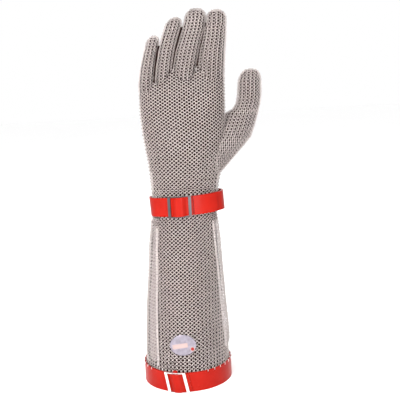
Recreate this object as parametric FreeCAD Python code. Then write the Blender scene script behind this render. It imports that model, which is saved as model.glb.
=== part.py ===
import FreeCAD, Part
import os
from math import atan2, cos, degrees, pi, radians, sin, sqrt, tan
from FreeCAD import Placement, Rotation, Vector

# Long-cuff chain mail glove for the left hand, standing on the rim of its cuff strap.
# Origin: centre of the cuff mouth, in the plane of the cuff strap's lower edge.
# +Z runs up the forearm to the fingertips, +X to the thumb, -Y to the back of the hand.
# Lengths are in millimetres and angles in degrees.

# ---- driving dimensions -------------------------------------------------------------
MAIL_WALL = 1.8            # thickness of the mail fabric
SECTION_POINTS = 24        # points on each closed section of the mail

# Forearm and hand: height, centre x, centre y, half width, half depth of the mail.
BODY_SECTIONS = [
    (12, 0.5, 2.0, 42.0, 42.0), (21, 0.6, 2.0, 41.8, 41.7), (34, 0.9, 2.0, 41.4, 40.3),
    (46, 1.2, 1.8, 41.0, 38.9), (80, 1.9, 1.5, 39.1, 34.5), (110, 3.3, 1.0, 36.8, 30.5),
    (140, 4.4, 0.5, 34.9, 26.0), (165, 5.5, 0.0, 33.2, 21.6), (169.5, 6.3, 0.0, 31.6, 20.1),
    (182, 6.9, 0.0, 31.8, 19.6), (200, 8.0, 0.0, 33.0, 18.8), (216, 9.3, 0.0, 35.6, 18.6),
    (232, 9.8, 0.0, 38.8, 18.2), (250, 9.6, 0.0, 40.9, 17.6), (270, 9.0, 0.0, 41.7, 16.2),
    (290, 9.3, 0.0, 41.9, 13.6), (306, 9.9, 0.0, 42.0, 11.8),
]
# Fingers: height, centre x, centre y, half width, half depth, up to where the tip rounds.
FINGER_SECTIONS = {
    "little": [(280, -25.2, 0, 7.7, 9.0), (300, -24.9, 0, 7.6, 9.0), (313, -22.9, 0, 7.4, 8.8),
               (325, -20.3, 0, 6.8, 8.4), (337, -17.0, 0, 6.4, 8.0)],
    "ring": [(286, -9.2, 0, 7.6, 9.6), (304, -8.4, 0, 7.8, 9.6), (317, -6.6, 0, 7.8, 9.4),
             (331, -3.5, 0, 7.6, 9.0), (343, 0.3, 0, 7.9, 8.8), (353, 4.1, 0, 8.0, 8.5)],
    "middle": [(288, 10.5, 0, 11.1, 10.4), (306, 11.5, 0, 11.2, 10.4), (316, 13.4, 0, 11.3, 10.2),
               (330, 16.9, 0, 11.2, 9.8), (340, 20.2, 0, 11.1, 9.6), (350, 23.7, 0, 10.6, 9.2),
               (360, 26.0, 0, 9.9, 9.0)],
    "index": [(288, 37.6, 0, 13.2, 10.6), (306, 38.6, 0, 13.1, 10.6), (316, 39.8, 0, 12.8, 10.4),
              (330, 41.9, 0, 11.9, 10.0), (340, 43.9, 0, 11.0, 9.6), (349, 45.3, 0, 10.1, 9.3),
              (358, 46.2, 0, 9.3, 8.9)],
}
THUMB_SECTIONS = [
    (210, 30.0, 3.0, 14.0, 13.0), (222, 39.5, 3.5, 16.0, 14.0), (234, 48.5, 4.0, 18.2, 14.0),
    (244, 57.0, 4.5, 18.6, 13.5), (254, 62.5, 5.0, 17.0, 12.8), (264, 67.0, 5.5, 15.8, 12.0),
    (274, 72.4, 6.0, 13.2, 11.4), (285, 75.4, 6.0, 12.1, 10.8), (297, 76.1, 6.0, 11.6, 10.3),
]
FINGER_TIP_Z = {"little": 345.3, "ring": 361.6, "middle": 369.5, "index": 367.4, "thumb": 310.2}
TIP_LEAN = {"little": 2.6, "ring": 3.2, "middle": 1.2, "index": 0.6, "thumb": 1.8}

# Joints of the mail: height of the fold, its offset to the palm side, bend each way.
WRIST_FOLD_Z = 202.0
WRIST_FLEX = 35.0
WRIST_EXTEND = 25.0
KNUCKLE_Z = {"little": 291.0, "ring": 297.0, "middle": 300.0, "index": 300.0}
KNUCKLE_FLEX = 50.0
FINGER_FOLD_Z = {"little": 318.0, "ring": 329.0, "middle": 336.0, "index": 334.0}
FINGER_FLEX = 60.0
FINGER_FOLD_Y = 2.5
THUMB_FOLD_LOW = Vector(45.5, 3.0, 208.0)
THUMB_FOLD_HIGH = Vector(54.5, 3.0, 271.0)
THUMB_FOLD = 40.0
THUMB_TIP_FOLD_Z = 283.0
THUMB_TIP_FOLD_Y = 8.5
THUMB_TIP_FLEX = 50.0
FOLD_GAP = 1.0             # slit between two mail panels at a fold
CUT_REACH = 60.0           # half size of the tools that cut the folds

# Stays: flat plastic strips inside the forearm mail, one each side.
STAY_THICKNESS = 1.5
STAY_WIDTH = 24.0
STAY_SPAN = {"left": (24.0, 160.0), "right": (35.0, 164.0)}
POCKET_MARGIN = 3.0
POCKET_THICKNESS = 1.8
SEAM_WIDTH = 1.4
SEAM_HEIGHT = 1.2
LAYER_GAP = 0.3

# Straps and their sliders.
STRAP_THICKNESS = 1.6
STRAP_WIDTH = 19.5
CUFF_STRAP_CENTRE = Vector(0.5, 2.0, 0.0)
CUFF_STRAP_RADIUS = 44.8
WRIST_STRAP_CENTRE = Vector(8.6, 0.0, 181.5)
WRIST_STRAP_HALF_WIDTH = 37.0
WRIST_STRAP_HALF_DEPTH = 23.6
WRIST_STRAP_SIDE_RADIUS = 17.0
WRIST_STRAP_TILT = -3.0    # about +Y: the thumb side is higher
WRIST_STRAP_WIDTH = 18.5
CUFF_BAR_SPACING = 17.4
WRIST_BAR_SPACING = 19.4
SLIDER_BAR_WIDTH = 2.6
SLIDER_THICKNESS = 1.2
SLIDER_RAIL = 0.8
SLIDER_LIFT = 2.0          # inner face of the slider above the strap's outer face
BRIDGE_THICKNESS = 1.3
BRIDGE_LENGTH = 25.0
CUFF_SLIDER_ANGLE = -103.3
WRIST_SLIDER_OFFSET = -6.9
CUFF_SLIDER_SKEW = 3.6     # how far the slider's lower end leads its upper end
WRIST_SLIDER_SKEW = -1.0
TAIL_LENGTH = 24.0
TAIL_GAP = 0.6             # slit between the bridge and the loose tail
TAIL_ROUNDING = 5.0        # corner radius of the loose tail
END_TAB_WIDTH = 4.4        # tab at the cuff strap's free end, beside the slider's middle bar
END_TAB_OFFSET = 0.4       # its middle along the strap, from the slider's centre
END_TAB_BELOW = 2.2        # how far it reaches down and up from the strap's upper edge
END_TAB_ABOVE = 2.6

# Rings that link the straps to the mail.
LINK_RING_RADIUS = 1.25
LINK_WIRE_RADIUS = 0.26
EYELET_RADIUS = 0.75
EYELET_DEPTH = 1.4         # eyelet centre below the strap's upper edge
LINK_STEP = 10.0
WRIST_LINK_STEP = 7.0
SLIDER_CLEAR_ANGLE = 32.0

# Badge riveted through the front of the cuff.
BADGE_HALF_WIDTH = 12.9
BADGE_HALF_HEIGHT = 10.1
BADGE_THICKNESS = 0.9
EDGE_ROUNDING = 0.3
BADGE_Z = 46.0
BADGE_ANGLE = -95.0
BACKING_RADIUS = 8.5
RIVET_RADIUS = 1.0
RIVET_OFFSET = 5.5
RIVET_CLEARANCE = 0.3
BACKING_THICKNESS = 0.8
BACKING_DROP = 1.2         # how far the curved mail bows inward under the backing plate
DOT_RADIUS = 1.6
DOT_HEIGHT = 0.4
DOT_PLACE = (9.3, -3.7)


def tidy(shape):
    """One shape without the seams that cutting leaves."""
    return shape.removeSplitter()


def section_wire(z, cx, cy, half_width, half_depth):
    """A closed oval section in a horizontal plane."""
    points = []
    for k in range(SECTION_POINTS):
        t = 2 * pi * k / SECTION_POINTS
        points.append(Vector(cx + half_width * cos(t), cy + half_depth * sin(t), z))
    curve = Part.BSplineCurve()
    curve.interpolate(Points=points, PeriodicFlag=True)
    return Part.Wire(curve.toShape())


def inset(sections, depth):
    return [(z, cx, cy, a - depth, b - depth) for z, cx, cy, a, b in sections]


def loft(sections):
    return Part.makeLoft([section_wire(*s) for s in sections], True, True)


def rounded_tip(sections, tip_z, lean, depth):
    """Sections that close the tube in a dome below tip_z."""
    z0, cx, cy, a, b = sections[-1]
    top = tip_z - depth
    domed = inset(sections, depth)
    for rise in (0.45, 0.75, 0.92, 0.99):
        shrink = sqrt(1 - rise * rise)
        z = z0 + (top - z0) * rise
        domed.append((z, cx + lean * rise, cy, (a - depth) * shrink, (b - depth) * shrink))
    return domed


def half_space(y, side):
    """Everything on one side of a plane across Y: side is -1 for the back of the hand."""
    size = 2 * max(FINGER_TIP_Z.values())
    start = y if side > 0 else y - size
    return Part.makeBox(size, size, size, Vector(-size / 2, start, -size / 4))


def fold_cutter(x1, x2, fold_y, fold_z, flex, extend, open_above=False):
    """Slit and wedges that let two panels fold about a line along X."""
    reach = CUT_REACH
    palm = FOLD_GAP / 2 + reach * tan(radians(flex / 2))
    back = FOLD_GAP / 2 + reach * tan(radians(extend / 2))
    lower = [(fold_y - reach, fold_z - back), (fold_y, fold_z - FOLD_GAP / 2),
             (fold_y + reach, fold_z - palm)]
    upper = [(fold_y + reach, fold_z + palm), (fold_y, fold_z + FOLD_GAP / 2),
             (fold_y - reach, fold_z + back)]
    if open_above:
        upper = [(fold_y + reach, fold_z + 2 * reach), (fold_y - reach, fold_z + 2 * reach)]
    outline = [Vector(x1, y, z) for y, z in lower + upper]
    face = Part.Face(Part.makePolygon(outline + outline[:1]))
    return face.extrude(Vector(x2 - x1, 0, 0))


def slanted_cutter(low, high, flex, reach):
    """Slit and palm-side wedge along a slanted fold line, open to +Y."""
    along = (high - low).normalize()
    across = Vector(along.z, 0, -along.x)
    spread = FOLD_GAP / 2 + reach * tan(radians(flex / 2))
    corners = [(-FOLD_GAP / 2, -reach), (-FOLD_GAP / 2, 0), (-spread, reach),
               (spread, reach), (FOLD_GAP / 2, 0), (FOLD_GAP / 2, -reach)]
    start = low - along * 30
    outline = [start + across * u + Vector(0, v, 0) for u, v in corners]
    face = Part.Face(Part.makePolygon(outline + outline[:1]))
    return face.extrude(along * ((high - low).Length + 40))


def by_height(shape):
    """The solids of a cut shape, lowest first, without crumbs."""
    solids = [s for s in shape.Solids if s.Volume > 20]
    return sorted(solids, key=lambda s: s.CenterOfMass.z)


# ---- forearm, hand and thumb mail ---------------------------------------------------
def body_shells():
    """Forearm and hand mail, and the thumb's base, as hollow shells."""
    body_outer = loft(BODY_SECTIONS)
    body_inner = loft(inset(BODY_SECTIONS, MAIL_WALL))
    thumb_outer = loft(rounded_tip(THUMB_SECTIONS, FINGER_TIP_Z["thumb"], TIP_LEAN["thumb"], 0))
    thumb_inner = loft(rounded_tip(THUMB_SECTIONS, FINGER_TIP_Z["thumb"], TIP_LEAN["thumb"],
                                   MAIL_WALL))
    shell = body_outer.fuse(thumb_outer).cut(body_inner.fuse(thumb_inner))
    wrist = fold_cutter(-60, 120, 0, WRIST_FOLD_Z, WRIST_FLEX, WRIST_EXTEND)
    cuff, above = by_height(shell.cut(wrist))
    return cuff, above


def split_thumb(above):
    """Part the hand from the thumb along the thumb's slanted fold."""
    cut = above.cut(slanted_cutter(THUMB_FOLD_LOW, THUMB_FOLD_HIGH, THUMB_FOLD, CUT_REACH))
    solids = [s for s in cut.Solids if s.Volume > 20]
    solids.sort(key=lambda s: s.CenterOfMass.x)
    hand, thumb = solids[0], solids[-1]
    tip_fold = fold_cutter(40, 110, THUMB_TIP_FOLD_Y, THUMB_TIP_FOLD_Z, THUMB_TIP_FLEX, 0)
    thumb_base, thumb_tip = by_height(thumb.cut(tip_fold))
    return hand, thumb_base, thumb_tip


def lane_edges():
    """Borders along X between the fingers, at the knuckles."""
    edges = [-60.0]
    names = list(FINGER_SECTIONS)
    for left, right in zip(names, names[1:]):
        _, lx, _, la, _ = FINGER_SECTIONS[left][1]
        _, rx, _, ra, _ = FINGER_SECTIONS[right][1]
        edges.append((lx + la + rx - ra) / 2)
    edges.append(70.0)
    return edges


def trim_hand(hand):
    """End the hand at each finger's knuckle."""
    edges = lane_edges()
    for k, name in enumerate(FINGER_SECTIONS):
        cutter = fold_cutter(edges[k], edges[k + 1], FINGER_FOLD_Y, KNUCKLE_Z[name],
                             KNUCKLE_FLEX, 0, open_above=True)
        hand = hand.cut(cutter)
    return by_height(hand)[-1]


def finger_shells(name):
    """A finger's base and tip mail."""
    sections = FINGER_SECTIONS[name]
    tip = (FINGER_TIP_Z[name], TIP_LEAN[name])
    outer = loft(rounded_tip(sections, tip[0], tip[1], 0))
    inner = loft(rounded_tip(sections, tip[0], tip[1], MAIL_WALL))
    shell = outer.cut(inner)
    knuckle = fold_cutter(-60, 80, FINGER_FOLD_Y, KNUCKLE_Z[name], KNUCKLE_FLEX, 0)
    fold = fold_cutter(-60, 80, FINGER_FOLD_Y, FINGER_FOLD_Z[name], FINGER_FLEX, 0)
    pieces = by_height(shell.cut(knuckle).cut(fold))
    return pieces[-2], pieces[-1]


def front_and_back(shell, y):
    """Split a tube into its back-of-hand half and its palm half."""
    return shell.common(half_space(y, -1)), shell.common(half_space(y, 1))


# ---- stays, their pockets and seams -------------------------------------------------
def section_at(z):
    """Centre and half sizes of the forearm mail at a height."""
    for low, high in zip(BODY_SECTIONS, BODY_SECTIONS[1:]):
        if low[0] <= z <= high[0]:
            f = (z - low[0]) / (high[0] - low[0])
            return [p + f * (q - p) for p, q in zip(low, high)][1:]
    raise ValueError(z)


def skin_point(z, angle, depth):
    cx, cy, a, b = section_at(z)
    t = radians(angle)
    return Vector(cx + (a - depth) * cos(t), cy + (b - depth) * sin(t), z)


def front_edge_angle(side, z):
    """Angle on the section of a stay's edge nearest the back of the hand."""
    f = min(max((z - 30.0) / 130.0, 0.0), 1.0)
    if side == "left":
        return 227.0 - 7.5 * f
    return -21.0 - 12.5 * f


def strip(side, z_low, z_high, start, width, outside, inside, steps=8):
    """A strip that follows the forearm mail, between two depths under its face.

    start is the distance from the stay's front edge to the strip, and width its width,
    both measured along the skin away from the back of the hand."""
    turn = 1 if side == "right" else -1
    wires = []
    for k in range(steps + 1):
        z = z_low + (z_high - z_low) * k / steps
        _, _, a, b = section_at(z)
        per_mm = turn * degrees(1) / ((a + b) / 2)
        t1 = front_edge_angle(side, z) + start * per_mm
        t2 = t1 + width * per_mm
        tm = (t1 + t2) / 2
        outer = Part.Arc(skin_point(z, t1, outside), skin_point(z, tm, outside),
                         skin_point(z, t2, outside)).toShape()
        inner = Part.Arc(skin_point(z, t2, inside), skin_point(z, tm, inside),
                         skin_point(z, t1, inside)).toShape()
        side_a = Part.LineSegment(skin_point(z, t2, outside), skin_point(z, t2, inside)).toShape()
        side_b = Part.LineSegment(skin_point(z, t1, inside), skin_point(z, t1, outside)).toShape()
        wires.append(Part.Wire([outer, side_a, inner, side_b]))
    return Part.makeLoft(wires, True, True)


def stay_parts(side):
    """A stay, the inner mail pocket that holds it, and the seam along its front edge."""
    low, high = STAY_SPAN[side]
    top = MAIL_WALL + LAYER_GAP + 0.3
    stay = strip(side, low, high, 0.8, STAY_WIDTH, top, top + STAY_THICKNESS)
    under = top + STAY_THICKNESS + LAYER_GAP + 0.3
    pocket = strip(side, low - POCKET_MARGIN, high + POCKET_MARGIN, -1.5,
                   STAY_WIDTH + 2 * POCKET_MARGIN, under, under + POCKET_THICKNESS)
    seam = strip(side, low, high, -0.6, SEAM_WIDTH, -LAYER_GAP - SEAM_HEIGHT, -LAYER_GAP)
    return stay, pocket, seam


# ---- straps -------------------------------------------------------------------------
def ring_sector(radius, thickness, angle1, angle2, z1, z2):
    """A curved plate about the Z axis between two angles."""
    wire = sector_wire(radius, radius + thickness, angle1, angle2, z1)
    return Part.Face(wire).extrude(Vector(0, 0, z2 - z1))


def polar(radius, angle, z):
    return Vector(radius * cos(radians(angle)), radius * sin(radians(angle)), z)


def sector_wire(inner, outer, angle1, angle2, z):
    mid = (angle1 + angle2) / 2
    far = Part.Arc(polar(outer, angle1, z), polar(outer, mid, z), polar(outer, angle2, z))
    near = Part.Arc(polar(inner, angle2, z), polar(inner, mid, z), polar(inner, angle1, z))
    return Part.Wire([far.toShape(),
                      Part.LineSegment(polar(outer, angle2, z), polar(inner, angle2, z)).toShape(),
                      near.toShape(),
                      Part.LineSegment(polar(inner, angle1, z), polar(outer, angle1, z)).toShape()])


def slider_frame(face_radius, angle, spacing, skew, z_low, z_high):
    """Pressed three-bar slider, curved to the strap; skew moves its top along the strap."""
    inner = face_radius + SLIDER_LIFT
    outer = inner + SLIDER_THICKNESS
    per_mm = degrees(1) / face_radius
    half = spacing / 2 + SLIDER_BAR_WIDTH / 2
    frame = None
    for place in (-spacing / 2, 0.0, spacing / 2):
        wires = []
        for z, shift in ((z_low, skew / 2), (z_high, -skew / 2)):
            a1 = angle + (place + shift - SLIDER_BAR_WIDTH / 2) * per_mm
            a2 = angle + (place + shift + SLIDER_BAR_WIDTH / 2) * per_mm
            wires.append(sector_wire(inner, outer, a1, a2, z))
        bar = Part.makeLoft(wires, True, True)
        frame = bar if frame is None else frame.fuse(bar)
    for z, shift in ((z_low, skew / 2), (z_high - SLIDER_RAIL, -skew / 2)):
        a1 = angle + (shift - half) * per_mm
        a2 = angle + (shift + half) * per_mm
        frame = frame.fuse(ring_sector(inner, SLIDER_THICKNESS, a1, a2, z, z + SLIDER_RAIL))
    return tidy(frame)


def bridge_profile(face_radius, s):
    """Radius of the bridge's inner face, s mm along the strap from the slider's centre."""
    low = face_radius + LAYER_GAP
    high = face_radius + SLIDER_LIFT + SLIDER_THICKNESS + LAYER_GAP
    flat, foot = 2.0, 7.4
    f = min(max((abs(s) - flat) / (foot - flat), 0.0), 1.0)
    return high + (low - high) * f * f * (3 - 2 * f)


def bridge_wire(face_radius, angle, shift, z, steps=24):
    """Side outline of the bridge at height z, moved by shift mm along the strap."""
    per_mm = degrees(1) / face_radius
    inner, outer = [], []
    for k in range(steps + 1):
        s = BRIDGE_LENGTH * (k / steps - 0.5)
        r = bridge_profile(face_radius, s)
        turn = angle + (s + shift) * per_mm
        inner.append(polar(r, turn, z))
        outer.append(polar(r + BRIDGE_THICKNESS, turn, z))
    below, above = Part.BSplineCurve(), Part.BSplineCurve()
    below.interpolate(inner)
    above.interpolate(outer)
    ends = [Part.LineSegment(inner[-1], outer[-1]), Part.LineSegment(outer[0], inner[0])]
    return Part.Wire([below.toShape(), ends[0].toShape(), above.toShape().reversed(),
                      ends[1].toShape()])


def bridge(face_radius, angle, skew, slider_low, slider_high, z1, z2):
    """The strap's free end where it rises over the slider's middle bar, leaning with it."""
    wires = []
    for z in (z1, z2):
        shift = skew * (0.5 - (z - slider_low) / (slider_high - slider_low))
        wires.append(bridge_wire(face_radius, angle, shift, z))
    return Part.makeLoft(wires, True, True)


def link_ring(centre, angle):
    """A wire ring standing across the strap's edge."""
    axis = Vector(-sin(radians(angle)), cos(radians(angle)), 0)
    return Part.makeTorus(LINK_RING_RADIUS, LINK_WIRE_RADIUS, centre, axis)


def eyelet(radius, angle, z):
    start = polar(radius - 4, angle, z)
    return Part.makeCylinder(EYELET_RADIUS, 8, start, polar(1, angle, 0))


def cuff_strap_parts():
    """Strap round the cuff's mouth, its slider and free end, and the rings that hold it."""
    strap = Part.makeCylinder(CUFF_STRAP_RADIUS, STRAP_WIDTH)
    strap = strap.cut(Part.makeCylinder(CUFF_STRAP_RADIUS - STRAP_THICKNESS, STRAP_WIDTH))
    rings = []
    middle = CUFF_STRAP_RADIUS - STRAP_THICKNESS / 2
    for k in range(int(360 / LINK_STEP)):
        angle = CUFF_SLIDER_ANGLE + k * LINK_STEP
        away = min(k * LINK_STEP, 360 - k * LINK_STEP)
        if away < SLIDER_CLEAR_ANGLE:
            continue
        strap = strap.cut(eyelet(middle, angle, STRAP_WIDTH - EYELET_DEPTH))
        rise = STRAP_WIDTH - EYELET_DEPTH + LINK_RING_RADIUS
        rings.append(link_ring(polar(middle, angle, rise), angle))
    slider_top = STRAP_WIDTH + SLIDER_RAIL + LAYER_GAP
    frame = slider_frame(CUFF_STRAP_RADIUS, CUFF_SLIDER_ANGLE, CUFF_BAR_SPACING,
                         CUFF_SLIDER_SKEW, 0, slider_top)
    over = bridge(CUFF_STRAP_RADIUS, CUFF_SLIDER_ANGLE, CUFF_SLIDER_SKEW, 0, slider_top,
                  SLIDER_RAIL + LAYER_GAP, STRAP_WIDTH)
    per_mm = degrees(1) / CUFF_STRAP_RADIUS
    tab_angle = CUFF_SLIDER_ANGLE + (END_TAB_OFFSET - CUFF_SLIDER_SKEW / 2) * per_mm
    half_tab = END_TAB_WIDTH / 2 * per_mm
    tab = ring_sector(CUFF_STRAP_RADIUS + LAYER_GAP / 2, BRIDGE_THICKNESS, tab_angle - half_tab,
                      tab_angle + half_tab, STRAP_WIDTH - END_TAB_BELOW,
                      STRAP_WIDTH + END_TAB_ABOVE)
    parts = {"cuff_strap": strap, "cuff_link_rings": Part.makeCompound(rings),
             "cuff_slider": frame, "cuff_strap_free_end": over, "cuff_strap_end_tab": tab}
    for shape in parts.values():
        shape.translate(CUFF_STRAP_CENTRE)
    return parts


def wrist_front_radius():
    """Radius of the wrist strap's long arcs, from its half sizes and its side arcs."""
    across = WRIST_STRAP_HALF_WIDTH - WRIST_STRAP_SIDE_RADIUS
    depth, side = WRIST_STRAP_HALF_DEPTH, WRIST_STRAP_SIDE_RADIUS
    return (across ** 2 + depth ** 2 - side ** 2) / (2 * (depth - side))


def wrist_oval(inward, z):
    """Closed oval of four arcs, drawn inward from the strap's outer face."""
    big = wrist_front_radius()
    side = WRIST_STRAP_SIDE_RADIUS
    side_x = WRIST_STRAP_HALF_WIDTH - side
    big_y = big - WRIST_STRAP_HALF_DEPTH
    lean = atan2(big_y, side_x)
    r = side - inward
    edges = []
    joins = [(side_x + r * cos(lean), -r * sin(lean)), (side_x + r * cos(lean), r * sin(lean)),
             (-side_x - r * cos(lean), r * sin(lean)), (-side_x - r * cos(lean), -r * sin(lean))]
    mids = [(side_x + r, 0), (0, WRIST_STRAP_HALF_DEPTH - inward),
            (-side_x - r, 0), (0, -WRIST_STRAP_HALF_DEPTH + inward)]
    for k in range(4):
        start, middle, end = joins[k], mids[k], joins[(k + 1) % 4]
        arc = Part.Arc(Vector(*start, z), Vector(*middle, z), Vector(*end, z))
        edges.append(arc.toShape())
    return Part.Wire(edges)


def tilt_wrist(shape):
    """Put a piece made about the wrist strap's own axis in its place."""
    shape.Placement = Placement(WRIST_STRAP_CENTRE,
                                Rotation(Vector(0, 1, 0), WRIST_STRAP_TILT)).multiply(
                                    shape.Placement)
    return shape


def wrist_strap_parts():
    """Strap round the wrist, its slider, free end and loose tail."""
    half = WRIST_STRAP_WIDTH / 2
    up = Vector(0, 0, WRIST_STRAP_WIDTH)
    strap = Part.Face(wrist_oval(0, -half)).extrude(up)
    strap = strap.cut(Part.Face(wrist_oval(STRAP_THICKNESS, -half)).extrude(up))
    big = wrist_front_radius()
    pivot = Vector(0, big - WRIST_STRAP_HALF_DEPTH, 0)
    angle = -90 + degrees(WRIST_SLIDER_OFFSET / big)
    slider_low = -half - SLIDER_RAIL - LAYER_GAP
    frame = slider_frame(big, angle, WRIST_BAR_SPACING, WRIST_SLIDER_SKEW, slider_low,
                         -slider_low)
    over = bridge(big, angle, WRIST_SLIDER_SKEW, slider_low, -slider_low, -half, half)
    tail_start = angle + degrees((BRIDGE_LENGTH / 2 + abs(WRIST_SLIDER_SKEW) / 2 + TAIL_GAP) / big)
    tail_end = tail_start + degrees(TAIL_LENGTH / big)
    tail = ring_sector(big + LAYER_GAP, BRIDGE_THICKNESS, tail_start, tail_end, -half, half)
    tail = tail.cut(tail_corners(big, tail_end, half))
    for shape in (frame, over, tail):
        shape.translate(pivot)
    rings = []
    for k in (-2, -1, 0, 1, 2):
        back_angle = 90 + k * WRIST_LINK_STEP
        centre = polar(big - STRAP_THICKNESS / 2, back_angle, 0)
        centre = Vector(centre.x, centre.y - pivot.y, -half + EYELET_DEPTH - LINK_RING_RADIUS)
        hole = eyelet(big - STRAP_THICKNESS / 2, back_angle, -half + EYELET_DEPTH)
        hole.translate(Vector(0, -pivot.y, 0))
        strap = strap.cut(hole)
        rings.append(link_ring(centre, back_angle))
    parts = {"wrist_strap": strap, "wrist_link_rings": Part.makeCompound(rings),
             "wrist_slider": frame, "wrist_strap_free_end": over, "wrist_strap_tail": tail}
    return {name: tilt_wrist(shape) for name, shape in parts.items()}


def tail_corners(radius, end_angle, half):
    """What rounds the two corners of the strap's loose end."""
    round_off = TAIL_ROUNDING
    per_mm = degrees(1) / radius
    block = ring_sector(radius - 1, 6, end_angle - round_off * per_mm, end_angle + 2, -half - 1,
                        half + 1)
    outward = polar(1, end_angle - round_off * per_mm, 0)
    start = polar(radius - 3, end_angle - round_off * per_mm, 0)
    keep = Part.makeBox(10, 2 * round_off + 4, 2 * (half - round_off))
    keep.Placement = Placement(Vector(0, -round_off - 2, -half + round_off), Rotation())
    keep.Placement = Placement(start, Rotation(Vector(1, 0, 0), outward)).multiply(keep.Placement)
    for z in (-half + round_off, half - round_off):
        keep = keep.fuse(Part.makeCylinder(round_off, 10, Vector(start.x, start.y, z), outward))
    return block.cut(keep)


# ---- badge --------------------------------------------------------------------------
def badge_placement():
    """Where the badge's plane touches the mail, with its Z axis pointing outward."""
    point = skin_point(BADGE_Z, BADGE_ANGLE, 0)
    t = radians(BADGE_ANGLE)
    _, _, a, b = section_at(BADGE_Z)
    slope = (section_at(BADGE_Z + 5)[3] - section_at(BADGE_Z - 5)[3]) / 10
    outward = Vector(cos(t) / a, sin(t) / b, 0).normalize()
    outward = Vector(outward.x, outward.y, -slope).normalize()
    across = Vector(0, 0, 1).cross(outward).normalize()
    return Placement(point, Rotation(across, outward.cross(across), outward, "XYZ"))


def badge_parts(front_mail):
    """Badge, size dot, backing plate and rivets, and the mail with holes for the rivets."""
    place = badge_placement()
    oval = Part.Ellipse(Vector(0, 0, LAYER_GAP), BADGE_HALF_WIDTH, BADGE_HALF_HEIGHT)
    disc = Part.Face(Part.Wire(oval.toShape())).extrude(Vector(0, 0, BADGE_THICKNESS))
    disc = disc.makeFillet(EDGE_ROUNDING, [e for e in disc.Edges if e.Closed and
                                           e.CenterOfMass.z > LAYER_GAP + EDGE_ROUNDING])
    dot = Part.makeCylinder(DOT_RADIUS, DOT_HEIGHT,
                            Vector(*DOT_PLACE, LAYER_GAP + BADGE_THICKNESS))
    depth = -MAIL_WALL - LAYER_GAP - BACKING_DROP
    backing = Part.makeCylinder(BACKING_RADIUS, BACKING_THICKNESS,
                                Vector(0, 0, depth - BACKING_THICKNESS))
    rivets, holes = [], []
    for x in (-RIVET_OFFSET, RIVET_OFFSET):
        rivets.append(Part.makeCylinder(RIVET_RADIUS, LAYER_GAP - depth, Vector(x, 0, depth)))
        holes.append(Part.makeCylinder(RIVET_RADIUS + RIVET_CLEARANCE, 12, Vector(x, 0, -9)))
    parts = {"size_badge": disc, "badge_size_dot": dot, "badge_backing_plate": backing,
             "badge_rivets": Part.makeCompound(rivets)}
    for shape in list(parts.values()) + holes:
        shape.Placement = place.multiply(shape.Placement)
    for hole in holes:
        front_mail = front_mail.cut(hole)
    return front_mail, parts


def build():
    """Every piece of the glove, by name."""
    parts = {}
    cuff, above = body_shells()
    front, back = front_and_back(cuff, 1.0)
    front, badge = badge_parts(front)
    parts["cuff_mail_back_of_hand_side"] = front
    parts["cuff_mail_palm_side"] = back
    parts.update(badge)
    hand, parts["thumb_base_mail"], parts["thumb_tip_mail"] = split_thumb(above)
    hand = trim_hand(hand)
    parts["back_of_hand_mail"], parts["palm_mail"] = front_and_back(hand, 0.0)
    for name in FINGER_SECTIONS:
        base, tip = finger_shells(name)
        parts[name + "_finger_base_mail"] = base
        parts[name + "_finger_tip_mail"] = tip
    for side in ("left", "right"):
        stay, pocket, seam = stay_parts(side)
        parts[side + "_stay"] = stay
        parts[side + "_stay_pocket_mail"] = pocket
        parts[side + "_stay_seam_rings"] = seam
    parts.update(cuff_strap_parts())
    parts.update(wrist_strap_parts())
    return parts


def main():
    os.makedirs("parts", exist_ok=True)
    for name, shape in build().items():
        shape.exportStep(os.path.join("parts", name + ".step"))
        box = shape.BoundBox
        print("%-30s solids %2d valid %s volume %8.0f  x %6.1f %6.1f  y %6.1f %6.1f  z %6.1f %6.1f"
              % (name, len(shape.Solids), shape.isValid(), shape.Volume, box.XMin, box.XMax,
                 box.YMin, box.YMax, box.ZMin, box.ZMax))
    big = wrist_front_radius()
    print("wrist strap front radius %.2f" % big)


main()
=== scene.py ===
import math

import bpy
import numpy as np
from mathutils import Matrix, Vector


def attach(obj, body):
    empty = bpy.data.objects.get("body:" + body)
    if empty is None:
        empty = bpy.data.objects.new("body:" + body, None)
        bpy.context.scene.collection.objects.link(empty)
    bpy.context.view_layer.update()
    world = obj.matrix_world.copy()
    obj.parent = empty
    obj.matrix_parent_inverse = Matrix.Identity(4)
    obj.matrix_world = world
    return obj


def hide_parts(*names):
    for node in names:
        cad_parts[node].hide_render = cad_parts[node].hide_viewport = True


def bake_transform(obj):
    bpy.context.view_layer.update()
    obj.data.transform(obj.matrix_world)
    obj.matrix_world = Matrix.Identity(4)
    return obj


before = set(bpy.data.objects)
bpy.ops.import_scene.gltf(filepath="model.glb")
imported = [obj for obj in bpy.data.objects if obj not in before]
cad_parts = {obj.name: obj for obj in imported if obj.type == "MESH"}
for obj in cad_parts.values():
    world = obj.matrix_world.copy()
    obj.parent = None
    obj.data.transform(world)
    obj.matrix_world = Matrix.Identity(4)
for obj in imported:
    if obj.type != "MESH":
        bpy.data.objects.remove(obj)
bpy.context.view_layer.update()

# Left-hand ring mail glove, standing on its cuff strap: +Z to the fingertips, +X to the thumb, -Y
# out of the back of the hand.  Lengths are millimetres, and metres in the meshes, the lights and
# the camera.  Each mail panel is woven from separate rings: rows run round the glove, alternate
# rows lean opposite ways and sit half a pitch apart.
MM = 0.001
rng = np.random.default_rng(7)

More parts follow.
